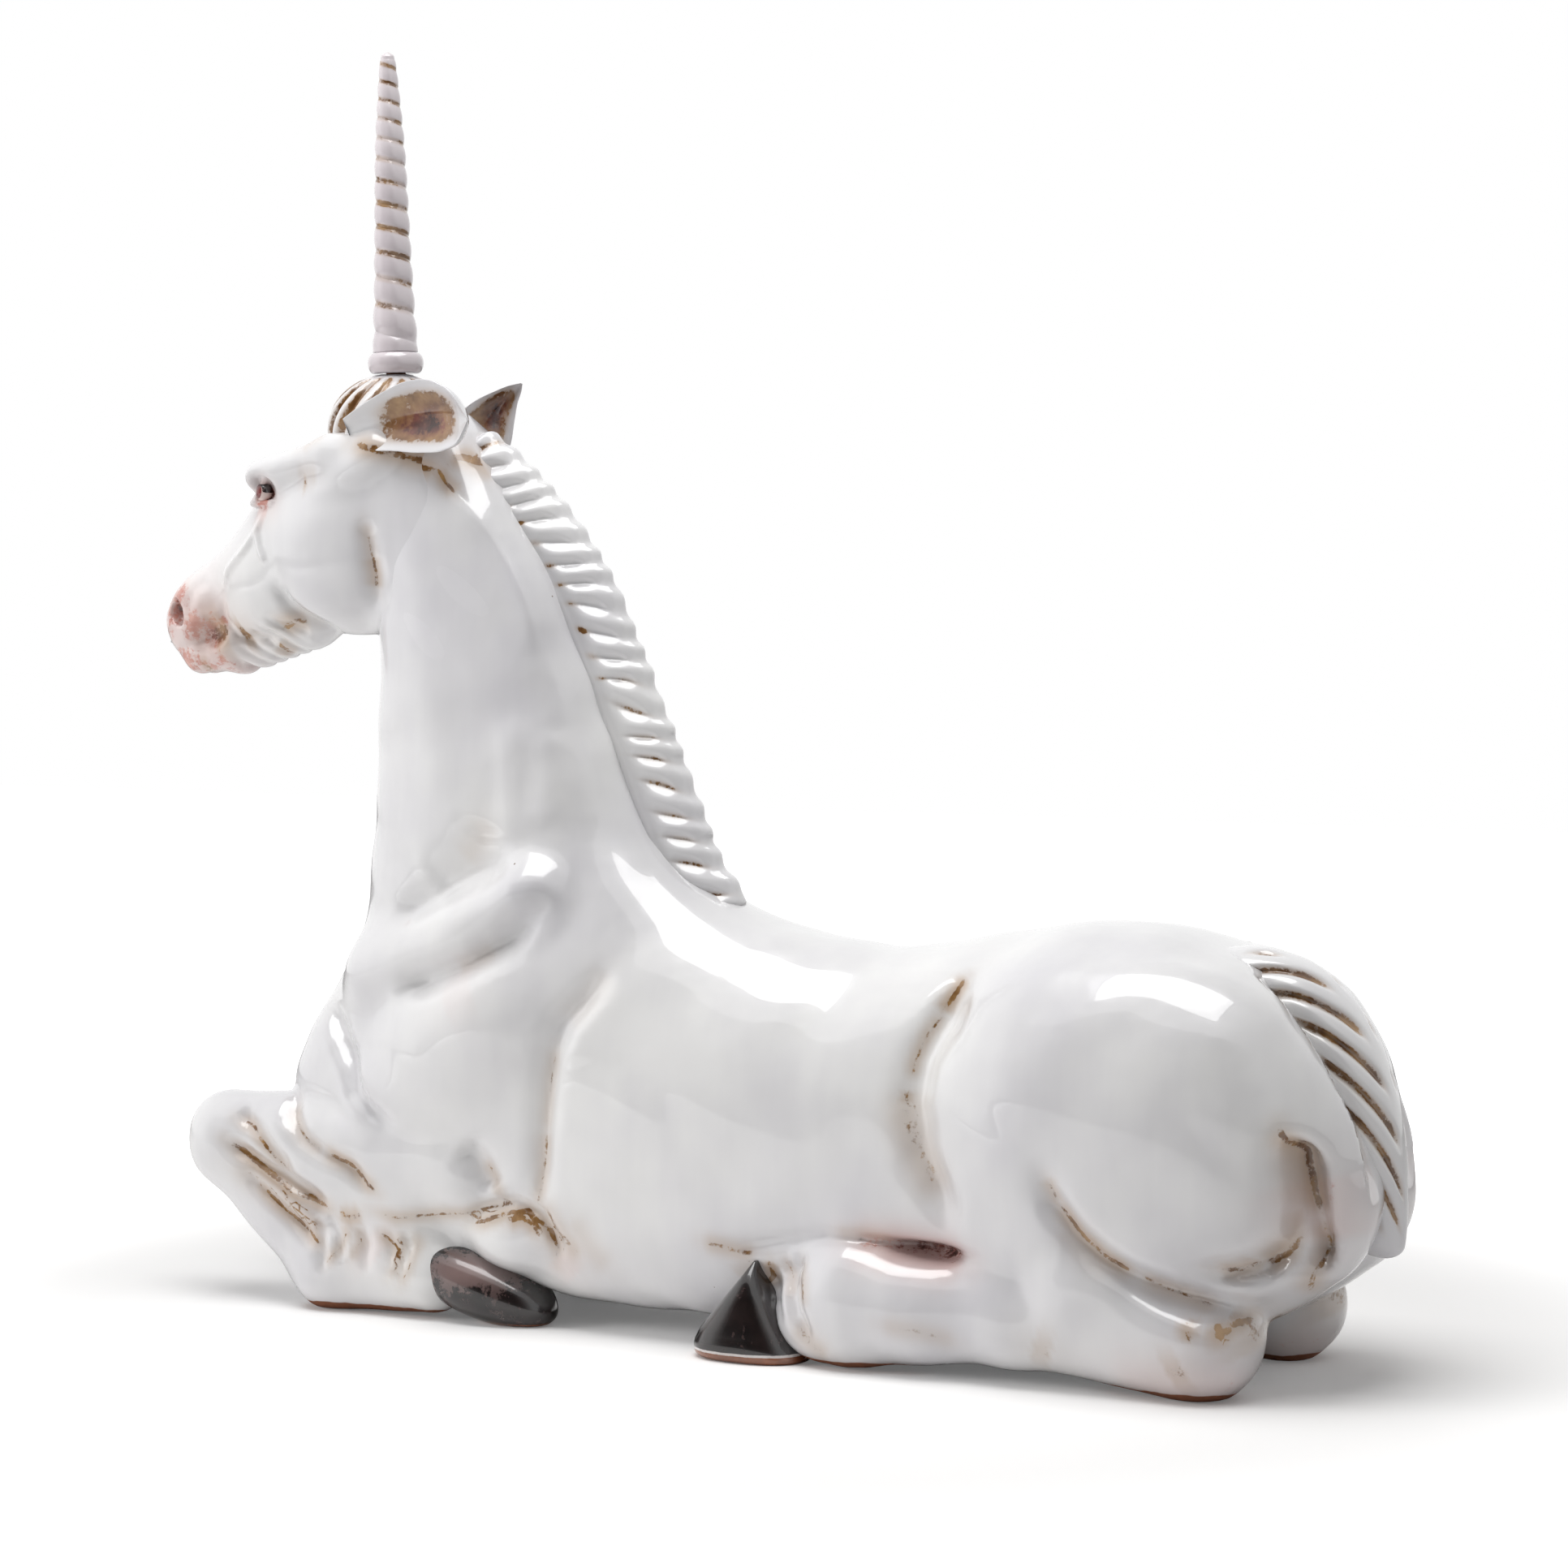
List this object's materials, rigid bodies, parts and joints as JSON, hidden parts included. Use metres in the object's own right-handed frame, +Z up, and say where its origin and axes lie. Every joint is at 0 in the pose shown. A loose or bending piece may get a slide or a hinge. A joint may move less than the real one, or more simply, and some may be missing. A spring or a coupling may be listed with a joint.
{
  "type": "unicorn figurine",
  "caption": "Reclining unicorn figurine in glazed earthenware: hollow body on folded legs, ribbed mane, close-lying tail, and a twisted horn on a peg that lifts out and turns.",
  "frame": {"origin": "on the floor, under the middle of the figure's bounding box", "axes": "+Z up, -X towards the nose, +X towards the tail, -Y towards the figure's left side"},
  "size_m": [0.6941, 0.186, 0.6418],
  "materials": {
    "white_glaze": "glossy white glaze with ochre stain in the grooves",
    "horn_glaze": "glossy white glaze with a brown line in the groove",
    "hoof_glaze": "glossy brown-black glaze",
    "eye_glaze": "glossy red-brown glaze",
    "bare_clay": "unglazed red clay"
  },
  "bodies": {
    "figure": {"torso": "white_glaze", "neck": "white_glaze", "head": "white_glaze", "mane": "white_glaze", "forelock": "white_glaze", "tail": "white_glaze", "ear_left": "white_glaze", "ear_right": "white_glaze", "eye_left": "eye_glaze", "eye_right": "eye_glaze", "haunch_left": "white_glaze", "haunch_right": "white_glaze", "hind_leg_left": "white_glaze", "hind_leg_right": "white_glaze", "hind_hoof_left": "hoof_glaze", "hind_hoof_right": "hoof_glaze", "foreleg_left": "white_glaze", "foreleg_right": "white_glaze", "fore_hoof_left": "hoof_glaze", "fore_hoof_right": "hoof_glaze"},
    "peg": {"horn_peg": "bare_clay"},
    "horn": {"horn": "horn_glaze"}
  },
  "joints": [
    {"name": "horn_lift", "type": "slide", "parent": "figure", "child": "peg", "axis": [-0.0262, 0, 0.9997], "range_m": [0, 0.05]},
    {"name": "horn_turn", "type": "hinge", "parent": "peg", "child": "horn", "pos_m": [-0.2017, 0, 0.4768], "axis": [-0.0262, 0, 0.9997], "continuous": true}
  ]
}
